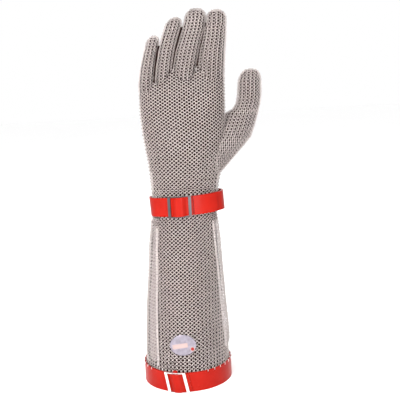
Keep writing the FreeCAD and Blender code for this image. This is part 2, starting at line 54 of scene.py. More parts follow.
# ---- the mail's rings ---------------------------------------------------------------------
RING_RADIUS = 1.57         # to the middle of the wire
FINGER_RING_RADIUS = 1.42
WIRE_RADIUS = 0.242
FINGER_WIRE = 0.215
RING_STEPS, WIRE_STEPS = 14, 4    # sides of a ring's outline and of its wire
REAR_STEPS = 13            # on the cuff's palm side, whose two pieces hold the most rings
LEAN = 27.0                # degrees, alternate rows lean opposite ways
CURLED_LEAN = 16.0         # in the fingers: lean of the rings that face out,
CURLED_SWAY = 74.0         # turn of the rings between them, which stand on edge
CURLED_SINK = 0.75         # and how much deeper those lie
CROWN = 3.0                # height of a fingertip's crown, where no ring stands on edge
MID_WALL = 0.3             # depth of the ring centres under the CAD's outer face
FINGER_DEPTH = 0.35        # the same on the fingers and the thumb
SHADE_DEPTH = 0.85         # the sheet of painted shade, below the ring centres
LEAN_JITTER, SWAY_JITTER = 3.0, 3.5       # degrees, spread of the rings' turns
PLACE_JITTER, SIZE_JITTER = 0.07, 0.008    # spread of their places and of their relative sizes
CUFF_PITCH = 4.14          # between neighbouring rings of a row, on the cuff
HAND_COUNT = 41            # rings in each row of the hand
FINGER_PITCH = {"little": 3.95, "ring": 4.0, "middle": 3.95, "index": 4.35, "thumb": 4.0}

# ---- the glove's shape --------------------------------------------------------------------
# height, centre x, centre y, half width, half depth, squareness
ARM = np.array([
    (12, 0.5, 2.0, 42.4, 42.4, 2), (21, 0.6, 2.0, 42.2, 42.1, 2), (34, 0.9, 2.0, 41.6, 40.5, 2),
    (46, 1.2, 1.8, 41.2, 39.1, 2), (80, 1.8, 1.5, 39.2, 34.5, 2), (110, 3.1, 1.0, 37.1, 30.5, 2),
    (140, 3.9, 0.5, 35.4, 26.0, 2), (165, 5.0, 0.0, 33.6, 21.6, 2),
    (169.5, 5.9, 0.0, 32.0, 20.1, 2), (182, 6.5, 0.0, 32.2, 19.6, 2),
    (200, 7.4, 0.0, 33.6, 18.8, 2), (216, 8.9, 0.0, 36.0, 18.6, 2),
    (232, 9.8, 0.0, 38.8, 18.2, 2), (250, 9.6, 0.0, 40.9, 17.6, 2),
    (270, 9.0, 0.0, 41.7, 16.0, 2.2), (290, 9.3, 0.0, 41.9, 12.8, 2.7),
    (306, 9.9, 0.0, 42.0, 10.9, 3.0), (318, 11.0, 0.0, 42.2, 10.4, 3.0)])
# height, centre x, centre y, half width, half depth
FINGERS = {
    "little": [(280, -25.2, 0, 7.7, 9.0), (300, -24.9, 0, 7.6, 9.0), (313, -22.8, 0, 7.5, 8.8),
               (325, -20.1, 0, 7.0, 8.4), (337, -16.8, 0, 6.6, 8.0)],
    "ring": [(286, -9.2, 0, 7.6, 9.6), (304, -8.1, 0, 8.1, 9.6), (317, -6.1, 0, 8.3, 9.4),
             (331, -3.0, 0, 8.2, 9.0), (343, 0.7, 0, 8.3, 8.8), (353, 4.3, 0, 8.1, 8.5)],
    "middle": [(288, 10.5, 0, 11.1, 10.4), (306, 11.6, 0, 11.6, 10.4), (316, 13.6, 0, 12.0, 10.2),
               (330, 17.0, 0, 12.0, 9.8), (340, 20.2, 0, 11.6, 9.6), (350, 23.8, 0, 11.4, 9.2),
               (360, 26.1, 0, 10.4, 9.0)],
    "index": [(288, 37.6, 0, 13.2, 10.6), (306, 38.4, 0, 13.4, 10.6), (316, 39.2, 0, 13.4, 10.4),
              (330, 41.2, 0, 12.6, 10.0), (340, 43.4, 0, 11.5, 9.6), (349, 44.8, 0, 10.9, 9.3),
              (358, 46.0, 0, 9.9, 8.9)],
    "thumb": [(205, 26.0, 3.0, 13.0, 12.0), (210, 30.0, 3.0, 14.0, 13.0),
              (222, 39.5, 3.5, 16.0, 14.0), (234, 48.5, 4.0, 18.2, 14.0),
              (244, 57.0, 4.5, 18.6, 13.5), (254, 62.5, 5.0, 17.0, 12.8),
              (264, 65.9, 5.5, 16.9, 12.0), (267.5, 67.5, 5.8, 16.3, 11.8),
              (271, 71.3, 5.9, 13.4, 11.6), (276, 73.7, 6.0, 12.4, 11.3),
              (282, 75.0, 6.0, 12.0, 11.0), (288, 75.6, 6.0, 12.0, 10.7),
              (297, 76.1, 6.0, 11.6, 10.3)],
}
TIP_Z = {"little": 345.3, "ring": 361.6, "middle": 369.5, "index": 367.4, "thumb": 310.2}
TIP_LEAN = {"little": 2.6, "ring": 3.2, "middle": 1.2, "index": 0.6, "thumb": 1.8}
KNUCKLE_Z = {"little": 291.0, "ring": 297.0, "middle": 300.0, "index": 300.0}
FOLD_Z = {"little": 318.0, "ring": 329.0, "middle": 336.0, "index": 334.0}
KNUCKLES = np.array(list(KNUCKLE_Z.values()))
THUMB_FOLD = np.array([(45.5, 3.0, 208.0), (54.5, 3.0, 271.0)])    # two points of its hinge
THUMB_SPLIT_Z = 270.0      # between the thumb's two pieces
STAY_SPAN = {"left": (24.0, 160.0), "right": (35.0, 164.0)}
STAY_WIDTH = 24.0
PUSH = {"left": 0.7, "right": 1.9}    # how far a stay pushes the mail over it outward
LANES = [-60.0, -17.4, 0.4, 25.4, 70.0]    # borders between the fingers at the knuckles
CROTCHES = [(-17.8, 300.7), (1.1, 313.1), (26.4, 314.7)]    # x and height between two fingers
SQUARENESS = 2.6           # of the four fingers
SPLIT_Z = 91.0             # between the cuff's lower and upper pieces
KNUCKLE_ZONE = 11.0        # how far below its knuckle a finger's first piece starts
CUFF_FOOT, CUFF_TOP = 13.0, 196.0          # heights of the first and the last row
WRIST_FOOT, WRIST_TOP = 197.8, 213.0
HAND_TOP, THUMB_FOOT = 316.0, 206.0
CUFF_GAP, HAND_GAP, KNUCKLE_GAP = 1.80, 1.84, 1.46    # between rows, along the surface
SHADE_BORDERS = (12.5, 194.0, 214.0, 315.0)    # ends of the cuff's, wrist's and hand's shade


def with_tip(name):
    """A finger's sections, closed by a dome; a squareness over 2 flattens front and back."""
    square = 2.0 if name == "thumb" else SQUARENESS
    rows = [tuple(r) + (square,) for r in FINGERS[name]]
    z0, cx, cy, a, b, _ = rows[-1]
    for rise in (0.2, 0.4, 0.55, 0.7, 0.8, 0.88, 0.94, 0.98, 0.995):
        shrink = math.sqrt(1 - rise * rise)
        rows.append((z0 + (TIP_Z[name] - z0) * rise, cx + TIP_LEAN[name] * rise, cy,
                     a * shrink, b * shrink, square + (2 - square) * rise))
    return np.array(rows, float)


TUBES = {name: with_tip(name) for name in FINGERS}


def at(tube, z):
    """A tube's centre x and y, half width, half depth and squareness at a height."""
    return [np.interp(z, tube[:, 0], tube[:, k]) for k in range(1, 6)]


def surface(tube, t, z, depth=MID_WALL):
    """Points of a tube's mail at angles t and heights z."""
    cx, cy, a, b, n = at(tube, z)
    c, s = np.cos(t), np.sin(t)
    x = cx + np.maximum(a - depth, 0.2) * np.sign(c) * np.abs(c) ** (2 / n)
    y = cy + np.maximum(b - depth, 0.2) * np.sign(s) * np.abs(s) ** (2 / n)
    return np.stack([x, y, z + 0 * t], -1)


def inside(tube, points, margin):
    """True where points lie inside a tube by more than margin."""
    x, y, z = points.T
    cx, cy, a, b, n = at(tube, z)
    a, b = np.maximum(a - margin, 0.1), np.maximum(b - margin, 0.1)
    level = np.abs((x - cx) / a) ** n + np.abs((y - cy) / b) ** n
    return (level < 1) & (z > tube[0, 0]) & (z < tube[-1, 0])


def row_heights(tube, z_low, z_high, gap_low, gap_high):
    """Heights of the rows, spaced along the surface as the weave's rows are."""
    z = np.linspace(z_low, z_high, 1200)
    cx, cy, a, b, _ = at(tube, z)
    step = np.sqrt(np.diff(z) ** 2 + np.diff(cx) ** 2 + (np.diff(a + b) / 2) ** 2)
    gap = np.interp(z, [z_low, z_high], [gap_low, gap_high])
    index = np.concatenate([[0], np.cumsum(step / gap[1:])])
    return np.interp(np.arange(int(index[-1]) + 1), index, z)


def row_angles(tube, z, anchor, pitch, phase, low, high, count=None):
    """Angles of one row's rings, set out from the anchor angle both ways along the surface."""
    t = np.linspace(anchor - math.pi, anchor + math.pi, 481)
    p = surface(tube, t, np.full_like(t, z))
    s = np.concatenate([[0], np.cumsum(np.linalg.norm(np.diff(p, axis=0), axis=1))])
    s -= s[240]
    if count:
        pitch = (s[-1] - s[0]) / count
        k = np.arange(count) + phase
        return np.interp(np.where(k * pitch > s[-1], k * pitch - (s[-1] - s[0]), k * pitch), s, t)
    reach = int((s[-1] - s[0]) / pitch) + 2
    where = (np.arange(-reach, reach + 1) + phase) * pitch
    angle = np.interp(where, s, t, left=np.nan, right=np.nan)
    angle = angle[np.isfinite(angle)]
    return angle[(angle > low) & (angle < high)]


class Rings:
    """Ring centres with their frames and the way each one leans and turns sideways."""

    PARTS = ("pos", "ex", "ey", "en", "lean", "sway")

    def __init__(self, pos, ex, ey, en, lean, sway):
        self.pos, self.ex, self.ey, self.en, self.lean, self.sway = pos, ex, ey, en, lean, sway

    def take(self, mask):
        return Rings(*[getattr(self, k)[mask] for k in self.PARTS])

    @staticmethod
    def join(several):
        return Rings(*[np.concatenate([getattr(r, k) for r in several]) for k in Rings.PARTS])


def hand_top(x):
    """Height where the hand's weave ends and the fingers' begins, with webs between them."""
    lane = np.digitize(x, LANES) - 1
    top = KNUCKLES[lane] + 1.0
    for border, height in CROTCHES:
        top = np.maximum(top, height - 1.0 - 1.6 * np.abs(x - border))
    return top


def weave(tube, rows, depth=MID_WALL):
    """Rings of many rows; rows is a list of (height, angles, sign of the lean)."""
    t = np.concatenate([r[1] for r in rows])
    z = np.concatenate([np.full(len(r[1]), r[0]) for r in rows])
    sign = np.concatenate([np.full(len(r[1]), r[2]) for r in rows])
    if callable(depth):
        depth = depth(t, z)
    pos = surface(tube, t, z, depth)
    ex = surface(tube, t + 1e-3, z, depth) - surface(tube, t - 1e-3, z, depth)
    dz = 0.25
    up = surface(tube, t, z + dz, depth) - surface(tube, t, z - dz, depth)
    ex /= np.linalg.norm(ex, axis=1, keepdims=True) + 1e-12
    en = np.cross(ex, up)
    en /= np.linalg.norm(en, axis=1, keepdims=True) + 1e-12
    ey = np.cross(en, ex)
    return Rings(pos, ex, ey, en, sign * LEAN, 0 * z)


def curl(rings, tip):
    """Rings of a curled finger: below its crown every second row stands on edge."""
    on_edge = (rings.lean < 0) & (rings.pos[:, 2] < tip - CROWN)
    rings.lean = np.where(on_edge, 0.0, np.sign(rings.lean) * CURLED_LEAN)
    rings.sway = np.where(on_edge, CURLED_SWAY, 0.0)
    rings.pos = rings.pos - rings.en * np.where(on_edge, CURLED_SINK, 0.0)[:, None]
    return rings


def crown_rings(tube, z, count=3, reach=1.3):
    """A few rings that lie flat and close a fingertip's crown."""
    t = 2 * math.pi * np.arange(count) / count
    cx, cy = at(tube, z)[:2]
    pos = np.stack([cx + reach * np.cos(t), cy + reach * np.sin(t), np.full(count, z)], -1)
    ex, ey, en = (np.tile(axis, (count, 1)) for axis in np.eye(3))
    return Rings(pos, ex, ey, en, np.full(count, 8.0), np.zeros(count))


def tube_rings(tube, z_low, z_high, gap_low, gap_high, pitch, anchor=-90.0, limits=None,
               count=None, first=0, depth=MID_WALL):
    """A woven tube or panel."""
    anchor = math.radians(anchor)
    rows = []
    for i, z in enumerate(row_heights(tube, z_low, z_high, gap_low, gap_high)):
        i += first
        low, high = (-math.inf, math.inf) if limits is None else limits(z)
        angles = row_angles(tube, z, anchor, pitch, 0.5 * (i % 2), low, high,
                            None if count is None else count(z))
        rows.append((z, angles, 1 if i % 2 else -1))
    return weave(tube, rows, depth)


def girth(tube, z):
    """Length round a tube at a height."""
    t = np.linspace(0, 2 * math.pi, 121)
    p = surface(tube, t, np.full_like(t, z))
    return np.linalg.norm(np.diff(p, axis=0), axis=1).sum()


def ring_template(radius, wire, steps, wire_steps):
    """Vertices, quads and UVs of one ring in the XY plane."""
    u = 2 * math.pi * np.arange(steps) / steps
    v = 2 * math.pi * (np.arange(wire_steps) + 0.5) / wire_steps
    uu, vv = np.meshgrid(u, v, indexing="ij")
    r = radius + wire * np.cos(vv)
    verts = np.stack([r * np.cos(uu), r * np.sin(uu), wire * np.sin(vv)], -1).reshape(-1, 3)
    i, j = np.meshgrid(np.arange(steps), np.arange(wire_steps), indexing="ij")
    a = i * wire_steps + j
    b = ((i + 1) % steps) * wire_steps + j
    c = ((i + 1) % steps) * wire_steps + (j + 1) % wire_steps
    d = i * wire_steps + (j + 1) % wire_steps
    quads = np.stack([a, b, c, d], -1).reshape(-1, 4)
    iu, jv = i.reshape(-1) / steps, j.reshape(-1) / wire_steps
    du, dv = 1 / steps, 1 / wire_steps
    uv = np.stack([np.stack([iu, jv], -1), np.stack([iu + du, jv], -1),
                   np.stack([iu + du, jv + dv], -1), np.stack([iu, jv + dv], -1)], 1)
    return verts, quads, uv


def mesh_of_rings(name, rings, mat, radius=RING_RADIUS, wire=WIRE_RADIUS, jitter=1.0,
                  steps=RING_STEPS):
    """One mesh object of many rings, each with a cell of its own in the UV layer."""
    n = len(rings.pos)
    verts, quads, uv = ring_template(radius, wire, steps, WIRE_STEPS)
    lean = np.radians(rings.lean + rng.normal(0, LEAN_JITTER * jitter, n))
    sway = np.radians(rings.sway + rng.normal(0, SWAY_JITTER * jitter, n))
    # lean about the row's direction, then sway about the ring's own upright
    ey = rings.ey * np.cos(lean)[:, None] + rings.en * np.sin(lean)[:, None]
    en = -rings.ey * np.sin(lean)[:, None] + rings.en * np.cos(lean)[:, None]
    ex = rings.ex * np.cos(sway)[:, None] + en * np.sin(sway)[:, None]
    en = -rings.ex * np.sin(sway)[:, None] + en * np.cos(sway)[:, None]
    centre = rings.pos + rng.normal(0, PLACE_JITTER * jitter, (n, 3))
    size = (1 + rng.normal(0, SIZE_JITTER * jitter, n))[:, None, None]
    pts = centre[:, None] + size * (verts[None, :, 0, None] * ex[:, None]
                                    + verts[None, :, 1, None] * ey[:, None]
                                    + verts[None, :, 2, None] * en[:, None])
    pts = pts.reshape(-1, 3) * MM
    faces = (quads[None] + (np.arange(n) * len(verts))[:, None, None]).reshape(-1, 4)
    mesh = bpy.data.meshes.new(name)
    mesh.vertices.add(len(pts))
    mesh.vertices.foreach_set("co", pts.astype(np.float32).ravel())
    mesh.loops.add(faces.size)
    mesh.loops.foreach_set("vertex_index", faces.astype(np.int32).ravel())
    mesh.polygons.add(len(faces))
    mesh.polygons.foreach_set("loop_start", np.arange(0, faces.size, 4, dtype=np.int32))
    mesh.polygons.foreach_set("use_smooth", np.ones(len(faces), dtype=bool))
    mesh.update(calc_edges=True)
    layer = mesh.uv_layers.new(name="OFBake")
    side = math.ceil(math.sqrt(n))
    cell = np.stack([np.arange(n) % side, np.arange(n) // side], -1) / side
    all_uv = cell[:, None, None] + (0.06 + 0.88 * uv[None]) / side
    layer.data.foreach_set("uv", all_uv.astype(np.float32).ravel())
    mesh.materials.append(mat)
    obj = bpy.data.objects.new(name, mesh)
    bpy.context.scene.collection.objects.link(obj)
    return obj


# ---- materials --------------------------------------------------------------------------
def material(name, colour, metallic, roughness, noise_scale, tone, rough_spread, bump=0.0,
             coat=0.0, specular=0.5):
    """A principled material whose tone, roughness and surface vary with object-space noise."""
    mat = bpy.data.materials.new(name)
    mat.use_nodes = True
    nodes, links = mat.node_tree.nodes, mat.node_tree.links
    shader = nodes["Principled BSDF"]
    shader.inputs["Metallic"].default_value = metallic
    shader.inputs["Specular IOR Level"].default_value = specular
    if coat:
        shader.inputs["Coat Weight"].default_value = coat
        shader.inputs["Coat Roughness"].default_value = 0.22
    place = nodes.new("ShaderNodeTexCoord")
    noise = nodes.new("ShaderNodeTexNoise")
    noise.inputs["Scale"].default_value = noise_scale
    noise.inputs["Detail"].default_value = 4.0
    links.new(place.outputs["Object"], noise.inputs["Vector"])
    ramp = nodes.new("ShaderNodeValToRGB")
    dark = [c * (1 - tone) for c in colour]
    light = [min(c * (1 + tone * 0.6), 1.0) for c in colour]
    ramp.color_ramp.elements[0].position, ramp.color_ramp.elements[1].position = 0.32, 0.68
    ramp.color_ramp.elements[0].color = (*dark, 1)
    ramp.color_ramp.elements[1].color = (*light, 1)
    links.new(noise.outputs["Fac"], ramp.inputs["Fac"])
    links.new(ramp.outputs["Color"], shader.inputs["Base Color"])
    spread = nodes.new("ShaderNodeMapRange")
    spread.inputs["To Min"].default_value = roughness - rough_spread
    spread.inputs["To Max"].default_value = roughness + rough_spread
    fine = nodes.new("ShaderNodeTexNoise")
    fine.inputs["Scale"].default_value = noise_scale * 4.3
    fine.inputs["Detail"].default_value = 3.0
    links.new(place.outputs["Object"], fine.inputs["Vector"])
    links.new(fine.outputs["Fac"], spread.inputs["Value"])
    links.new(spread.outputs["Result"], shader.inputs["Roughness"])
    if bump:
        relief = nodes.new("ShaderNodeBump")
        relief.inputs["Strength"].default_value = bump
        relief.inputs["Distance"].default_value = 0.0004
        links.new(fine.outputs["Fac"], relief.inputs["Height"])
        links.new(relief.outputs["Normal"], shader.inputs["Normal"])
    return mat


mail_steel = material("mail_steel", (0.55, 0.495, 0.48), 1.0, 0.36, 260, 0.14, 0.10)
seam_steel = material("seam_steel", (0.70, 0.65, 0.64), 1.0, 0.30, 300, 0.06, 0.08)
slider_steel = material("slider_steel", (0.74, 0.73, 0.73), 1.0, 0.24, 120, 0.08, 0.08, bump=0.05)
# painted shade: the sliders' steel, darkened for the shade the wrist slider's bars lie in
wrist_slider_steel_painted_shade = material("wrist_slider_steel_painted_shade", (0.075, 0.068, 0.072), 1.0, 0.32, 120, 0.12,
                              0.08, bump=0.05)
badge_metal = material("badge_metal", (0.235, 0.215, 0.255), 1.0, 0.34, 260, 0.22, 0.08, bump=0.10)
badge_panel = material("badge_panel", (0.27, 0.195, 0.185), 0.0, 0.42, 150, 0.05, 0.05)
dot_red = material("dot_red", (0.19, 0.008, 0.008), 0.0, 0.4, 200, 0.08, 0.05, specular=0.2)
strap_red = material("strap_red", (0.235, 0.0065, 0.003), 0.0, 0.34, 55, 0.10, 0.08, bump=0.10,
                     specular=0.04, coat=0.08)
stay_white = material("stay_white", (0.235, 0.20, 0.20), 0.0, 0.5, 90, 0.05, 0.08, bump=0.06)
# painted shade: a near-black material for the shade inside worn mail and between the fingers
shade_dark = material("shade_dark", (0.016, 0.010, 0.009), 0.0, 0.85, 90, 0.2, 0.08,
                      specular=0.0)

NODE_MATERIALS = {
    "cuff_strap": strap_red, "wrist_strap": strap_red, "cuff_strap_free_end": strap_red,
    "cuff_strap_end_tab": strap_red, "wrist_strap_free_end": strap_red,
    "wrist_strap_tail": strap_red, "cuff_slider": slider_steel, "wrist_slider": wrist_slider_steel_painted_shade,
    "cuff_link_rings": seam_steel, "wrist_link_rings": seam_steel, "size_badge": badge_metal,
    "badge_backing_plate": badge_metal, "badge_rivets": badge_metal, "badge_size_dot": dot_red,
    "left_stay": stay_white, "right_stay": stay_white,
}
for node, mat in NODE_MATERIALS.items():
    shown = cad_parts[node]
    for k in range(len(shown.material_slots)):
        shown.material_slots[k].material = mat
    if not shown.material_slots:
        shown.data.materials.append(mat)


# ---- forearm ----------------------------------------------------------------------------
def edge_angles(z):
    """Angles of the seams along the two stays' front edges at a height."""
    rise = min(max((z - 30.0) / 130.0, 0.0), 1.0)
    return math.radians(-133.0 - 7.5 * rise), math.radians(-21.0 - 12.5 * rise)


def ease_in(distance, length):
    """0 at no distance, 1 past the length."""
    return min(max(distance / length, 0), 1)


def over_stays(t, z):
    """Depth of the rear panel's rings, which the stays push outward from inside."""
    push = np.zeros(len(t))
    for k in range(len(t)):
        left, right = edge_angles(z[k])
        _, _, a, b, _ = at(ARM, z[k])
        for side, turn in (("left", left + 2 * math.pi - t[k]), ("right", t[k] - right)):
            low, high = STAY_SPAN[side]
            across = turn * (a + b) / 2
            width = ease_in(across, 3.0) * ease_in(STAY_WIDTH + 4 - across, 6.0)
            length = ease_in(z[k] - low + 2, 6.0) * ease_in(high - z[k], 16.0)
            fade = np.interp(z[k], (60.0, 120.0), (1.0, 0.6))
            push[k] = max(push[k], PUSH[side] * width * length * fade)
    return MID_WALL - push


front_cuff = tube_rings(ARM, CUFF_FOOT, CUFF_TOP, CUFF_GAP, CUFF_GAP, CUFF_PITCH,
                        limits=edge_angles)
rear_cuff = tube_rings(ARM, CUFF_FOOT, CUFF_TOP, CUFF_GAP, CUFF_GAP, CUFF_PITCH, anchor=90.0,
                       first=1, depth=over_stays,
                       limits=lambda z: (edge_angles(z)[1], edge_angles(z)[0] + 2 * math.pi))

# over the stay on the little finger's side the rows stand up as ribs
RIB = 1.7                  # how much more their rings lean
angle = np.arctan2(rear_cuff.pos[:, 1], rear_cuff.pos[:, 0])
pushed = over_stays(np.where(angle < -1.3, angle + 2 * math.pi, angle), rear_cuff.pos[:, 2])
on_ribs = (pushed < MID_WALL - 0.3) & (rear_cuff.pos[:, 0] < 0)
rear_cuff.lean = np.where(on_ribs, RIB, 1.0) * rear_cuff.lean

cuff_pieces = {}
for panel, rings in (("front", front_cuff), ("rear", rear_cuff)):
    low = rings.pos[:, 2] < SPLIT_Z
    cuff_pieces["cuff_%s_lower_mail" % panel] = rings.take(low)
    cuff_pieces["cuff_%s_upper_mail" % panel] = rings.take(~low)

wrist_mail = tube_rings(ARM, WRIST_FOOT, WRIST_TOP, 1.82, HAND_GAP, 0,
                        count=lambda z: HAND_COUNT)
last_z = wrist_mail.pos[:, 2].max()

# ---- hand, knuckles, fingers and thumb --------------------------------------------------
hand_all = tube_rings(ARM, last_z + HAND_GAP, HAND_TOP, HAND_GAP, KNUCKLE_GAP, 0,
                      count=lambda z: HAND_COUNT,
                      first=len(np.unique(np.round(wrist_mail.pos[:, 2], 3))))
in_thumb = inside(TUBES["thumb"], hand_all.pos, 1.6)
hand_all = hand_all.take(~in_thumb & (hand_all.pos[:, 2] < hand_top(hand_all.pos[:, 0])))
lane = np.digitize(hand_all.pos[:, 0], LANES) - 1


def even_count(tube, pitch, mid_z, free_below=0.0):
    """Rings in a row: the same number all the way up, and fewer only near the fingertip."""
    full = round(girth(tube, mid_z) / pitch)

    def count(z):
        if z < free_below:
            return None
        length = girth(tube, z)
        return full if length > 0.86 * full * pitch else max(round(length / pitch), 3)
    return count


row_z = np.unique(np.round(hand_all.pos[:, 2], 3))
finger_rings = {}
for name in KNUCKLE_Z:
    tube, pitch, top = TUBES[name], FINGER_PITCH[name], TIP_Z[name]
    low = row_z[row_z < KNUCKLE_Z[name] + 1.0].max() + 1.4    # a row above the hand's last one
    count = even_count(tube, pitch, 0.5 * (low + FINGERS[name][-1][0]))
    rings = tube_rings(tube, low, top - 0.7, 1.47, 1.45, pitch, count=count, depth=FINGER_DEPTH)
    rings = curl(rings, top)
    rings = rings.take(rings.pos[:, 2] > hand_top(rings.pos[:, 0]) - 0.1)
    finger_rings[name] = Rings.join([rings, crown_rings(tube, top - 0.6)])

tube, pitch, top = TUBES["thumb"], FINGER_PITCH["thumb"], TIP_Z["thumb"]
thumb = curl(tube_rings(tube, THUMB_FOOT, top - 0.7, 1.6, 1.5, pitch, depth=FINGER_DEPTH,
                        count=even_count(tube, pitch, 285.0, free_below=286.0)), top)
thumb = Rings.join([thumb, crown_rings(tube, top - 0.6)])
thumb = thumb.take(~inside(ARM, thumb.pos, 1.2))

along = (THUMB_FOLD[1] - THUMB_FOLD[0]) / np.linalg.norm(THUMB_FOLD[1] - THUMB_FOLD[0])
across = np.array((along[2], 0.0, -along[0]))


def beside_thumb(points):
    """True where the hand's mail and its shade go into the thumb's base piece."""
    return ((points - THUMB_FOLD[0]) @ across > -8) & (points[:, 2] < 284)


near_thumb = beside_thumb(hand_all.pos)
top_zone = (hand_all.pos[:, 2] > KNUCKLES[lane] - KNUCKLE_ZONE) & ~near_thumb
front_side = hand_all.pos[:, 1] < 0

# ---- pieces, some riding on their body, the rest left in place ----------------------------
made = {}


def put(name, rings, **options):
    """A piece of steel mail, noted under its name; fingers and thumb have smaller rings."""
    if name.split("_")[0] in FINGERS:
        options.update(radius=FINGER_RING_RADIUS, wire=FINGER_WIRE)
    made[name] = mesh_of_rings(name, rings, mail_steel, **options)
    return made[name]


def finger_split(name):
    """Height between a finger's two pieces."""
    return 0.5 * (KNUCKLE_Z[name] + FOLD_Z[name]) + 2


for name, rings in cuff_pieces.items():
    steps = REAR_STEPS if "rear" in name else RING_STEPS
    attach(put(name, rings, steps=steps), "cuff")
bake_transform(put("wrist_mail", wrist_mail))
plain_hand = ~top_zone & ~near_thumb
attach(put("hand_back_mail", hand_all.take(plain_hand & front_side)), "hand")
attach(put("hand_palm_mail", hand_all.take(plain_hand & ~front_side)), "hand")
for k, name in enumerate(KNUCKLE_Z):
    rings = finger_rings[name]
    below = rings.pos[:, 2] < finger_split(name)
    base = Rings.join([hand_all.take(top_zone & (lane == k)), rings.take(below)])
    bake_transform(put(name + "_finger_base_rings", base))
    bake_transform(put(name + "_finger_tip_rings", rings.take(~below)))
below = thumb.pos[:, 2] < THUMB_SPLIT_Z
thumb_root = Rings.join([hand_all.take(near_thumb), thumb.take(below)])
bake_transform(put("thumb_base_rings", thumb_root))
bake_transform(put("thumb_tip_rings", thumb.take(~below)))


# ---- painted shade: dark sheets under the rings, for the shade in the holes of worn mail ---
class Quads:
    """Loose quads of a tube's inner face, with their centres."""

    def __init__(self, corners):
        self.corners, self.pos = corners, corners.mean(1)

    def take(self, mask):
        return Quads(self.corners[mask])


def shade_grid(tube, z_low, z_high, depth, steps, rise=2.5):
    """Quads all round a tube, at a depth under its outer face."""
    t = np.linspace(0, 2 * math.pi, steps + 1)
    z = np.linspace(z_low, z_high, max(int((z_high - z_low) / rise), 2) + 1)
    tt, zz = np.meshgrid(t, z)
    p = surface(tube, tt.ravel(), zz.ravel(), depth).reshape(len(z), len(t), 3)
    corners = np.stack([p[:-1, :-1], p[:-1, 1:], p[1:, 1:], p[1:, :-1]], 2).reshape(-1, 4, 3)
    return Quads(corners)


def shade_piece(name, several):
    """One dark mesh object of several lots of quads, each quad with a UV cell of its own."""
    corners = np.concatenate([q.corners for q in several]) * MM
    n = len(corners)
    mesh = bpy.data.meshes.new(name)
    mesh.from_pydata(corners.reshape(-1, 3).tolist(), [],
                     np.arange(4 * n).reshape(n, 4).tolist())
    layer = mesh.uv_layers.new(name="OFBake")
    side = math.ceil(math.sqrt(n))
    cell = np.stack([np.arange(n) % side, np.arange(n) // side], -1)
    square = np.array([(0.1, 0.1), (0.9, 0.1), (0.9, 0.9), (0.1, 0.9)])
    layer.data.foreach_set("uv", ((cell[:, None] + square[None]) / side).ravel())
    mesh.materials.append(shade_dark)
    obj = bpy.data.objects.new(name, mesh)
    bpy.context.scene.collection.objects.link(obj)
    return obj


RIGHT_SHADE = 6.0          # width of the painted shade between the right seam and the stay's bright part


def under_stay(quads):
    """True where a quad lies over one of the stays."""
    hidden = np.zeros(len(quads.pos), bool)
    for k, z in enumerate(quads.pos[:, 2]):
        cx, cy, a, b, _ = at(ARM, z)
        angle = math.atan2((quads.pos[k, 1] - cy) / b, (quads.pos[k, 0] - cx) / a)
        left, right = edge_angles(z)
        span = STAY_WIDTH / ((a + b) / 2)
        low, high = STAY_SPAN["left"]
        hidden[k] |= low < z < high and 0 < (left - angle) % (2 * math.pi) < span
        low, high = STAY_SPAN["right"]
        gap = RIGHT_SHADE / ((a + b) / 2)
        hidden[k] |= low < z < high and gap < (angle - right) % (2 * math.pi) < span
    return hidden


cuff_foot, wrist_foot, hand_foot, hand_end = SHADE_BORDERS
cuff_shade = shade_grid(ARM, cuff_foot, wrist_foot, MID_WALL + SHADE_DEPTH, steps=160)
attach(shade_piece("cuff_inner_shade", [cuff_shade.take(~under_stay(cuff_shade))]), "cuff")
wrist_shade = shade_grid(ARM, wrist_foot, hand_foot, 2.3, steps=96)
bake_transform(shade_piece("wrist_inner_shade", [wrist_shade]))
hand_shade = shade_grid(ARM, hand_foot, hand_end, MID_WALL + SHADE_DEPTH, steps=120, rise=1.6)
hand_shade = hand_shade.take(~inside(TUBES["thumb"], hand_shade.pos, 3.0)
                             & (hand_shade.pos[:, 2] < hand_top(hand_shade.pos[:, 0]) + 1))
shade_lane = np.digitize(hand_shade.pos[:, 0], LANES) - 1
shade_near = beside_thumb(hand_shade.pos)
shade_top = (hand_shade.pos[:, 2] > KNUCKLES[shade_lane] - KNUCKLE_ZONE) & ~shade_near

# two fingers, and the heights between which the groove between them is filled with painted shade
GROOVES = (("little", "ring", 299.5, 336.5), ("ring", "middle", 311.5, 352.5),
           ("middle", "index", 313.0, 356.0))
GROOVE = 0.56              # half depth of a groove's bottom, as a part of the finger's own


def groove(left, right, bottom, top):
    """Painted shade at the bottom of the groove between two fingers, one half for each finger."""
    halves = {left: [], right: []}
    z = np.arange(bottom, top, 1.5)
    for side in (-1, 1):
        edge = {}
        for name, way in ((left, 1), (right, -1)):
            cx, cy, a, b, n = at(TUBES[name], z)
            reach = (1 - GROOVE ** n) ** (1 / n)
            edge[name] = (cx + way * (a - 1.6) * reach, side * GROOVE * b)
        mid = (edge[left][0] + edge[right][0]) / 2
        mid_y = (edge[left][1] + edge[right][1]) / 2
        for name in (left, right):
            x, y = edge[name]
            outer = np.stack([x, y, z], -1)
            inner = np.stack([mid, mid_y, z], -1)
            halves[name].append(np.stack([outer[:-1], inner[:-1], inner[1:], outer[1:]], 1))
    return {name: Quads(np.concatenate(parts)) for name, parts in halves.items()}


